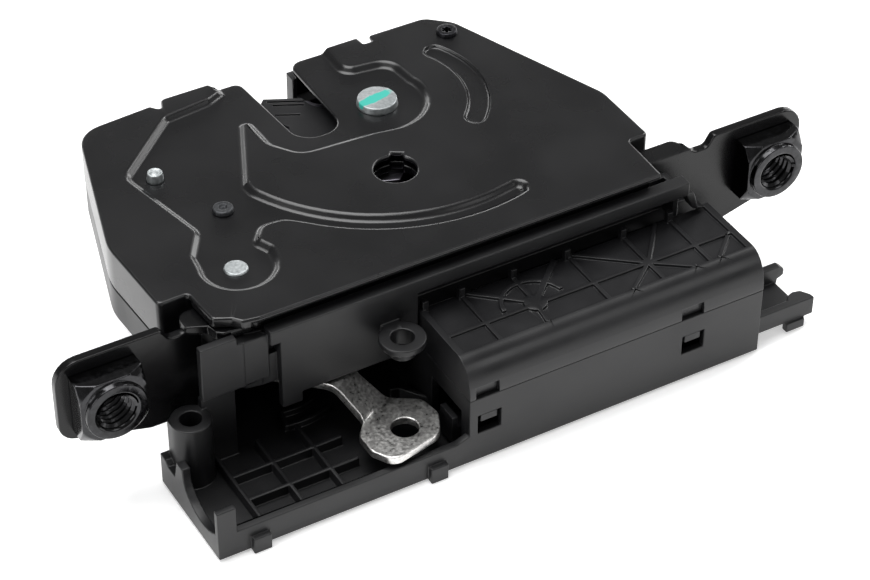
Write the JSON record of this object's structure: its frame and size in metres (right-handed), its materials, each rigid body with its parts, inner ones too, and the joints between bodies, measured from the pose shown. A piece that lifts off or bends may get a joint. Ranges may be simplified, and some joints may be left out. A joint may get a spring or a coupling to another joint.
{
  "type": "trunk latch",
  "caption": "Flat trunk latch: slotted cover plate over a rotary catch, ears with square weld nuts, and a geared actuator box with an open cable tray and release lever",
  "frame": {"origin": "midway between the axes of the two mounting nuts, on the back face of the mounting ears", "axes": "+X along the nuts from the cable tray's end to the plug trough's end, +Y to the striker's mouth, +Z out of the cover plate's face"},
  "size_m": [0.169, 0.0968, 0.037],
  "materials": {
    "cover_sheet": "satin black lacquer over pressed steel",
    "frame_steel": "satin black lacquer",
    "nut_steel": "black zinc",
    "housing_plastic": "fine moulded grain",
    "cap_plastic": "fine moulded grain",
    "dark_plate": "satin",
    "bright_steel": "zinc plated",
    "catch_steel": "ground and hardened",
    "jacket_plastic": "smooth moulded",
    "spring_steel": "drawn wire",
    "bumper_rubber": "matte",
    "dark_fastener": "black zinc",
    "motor_steel": "zinc plated can",
    "pale_plastic": "natural acetal",
    "worm_brass": "turned",
    "contact_brass": "stamped",
    "switch_plastic": "smooth moulded",
    "plunger_plastic": "smooth moulded"
  },
  "bodies": {
    "latch": {"cover_plate": "cover_sheet", "frame_plate": "frame_steel", "weld_nut_left": "nut_steel", "weld_nut_right": "nut_steel", "lock_housing": "housing_plastic", "back_plate": "dark_plate", "catch_pivot": "bright_steel", "catch_spring": "spring_steel", "striker_bumper": "bumper_rubber", "pawl_pivot": "bright_steel", "pawl_spring": "spring_steel", "stop_rivet": "bright_steel", "locating_pin": "dark_fastener", "cover_screw": "dark_fastener", "actuator_housing": "housing_plastic", "actuator_cap": "cap_plastic", "motor_can": "motor_steel", "motor_end_cap": "pale_plastic", "motor_terminals": "contact_brass", "wheel_axle": "bright_steel", "micro_switch": "switch_plastic", "switch_terminals": "contact_brass", "plug_socket": "housing_plastic", "plug_pins": "contact_brass", "lead_frame": "contact_brass", "housing_screws": "dark_fastener"},
    "catch": {"catch_core": "catch_steel", "catch_jacket": "jacket_plastic"},
    "release": {"pawl": "catch_steel", "pawl_sleeve": "bright_steel", "release_lever": "bright_steel"},
    "wheel": {"worm_wheel": "pale_plastic"},
    "rotor": {"motor_shaft": "bright_steel", "worm": "worm_brass"},
    "rack": {"rack_slider": "jacket_plastic"},
    "plunger": {"switch_plunger": "plunger_plastic"}
  },
  "joints": [
    {"name": "catch_turn", "type": "hinge", "parent": "latch", "child": "catch", "pos_m": [0.008, 0.042, 0.0039], "axis": [0, 0, 1], "range_deg": [0, 62], "stiffness_Nm_per_rad": 0.15, "springref_deg": -28.65},
    {"name": "release_turn", "type": "hinge", "parent": "latch", "child": "release", "pos_m": [-0.042, 0.0077, -0.003], "axis": [0, 0, -1], "range_deg": [-5, 9], "stiffness_Nm_per_rad": 0.4},
    {"name": "wheel_turn", "type": "hinge", "parent": "latch", "child": "wheel", "pos_m": [0.0091, -0.0175, -0.0155], "axis": [0, 0, -1], "range_deg": [-37, 67]},
    {"name": "worm_turn", "type": "hinge", "parent": "latch", "child": "rotor", "pos_m": [0.024, -0.0079, -0.0155], "axis": [-1, 0, 0], "range_deg": [-663, 1192]},
    {"name": "rack_slide", "type": "slide", "parent": "latch", "child": "rack", "axis": [-1, 0, 0], "range_m": [-0.0026, 0.0047]},
    {"name": "plunger_slide", "type": "slide", "parent": "latch", "child": "plunger", "axis": [1, 0, 0], "range_m": [0, 0.0009], "stiffness_N_per_m": 150}
  ],
  "couplings": [
    {"joint": "wheel_turn", "follows": "release_turn", "ratio": 7.35},
    {"joint": "worm_turn", "follows": "release_turn", "ratio": 132.3},
    {"joint": "rack_slide", "follows": "release_turn", "m_per_rad": 0.0294}
  ]
}
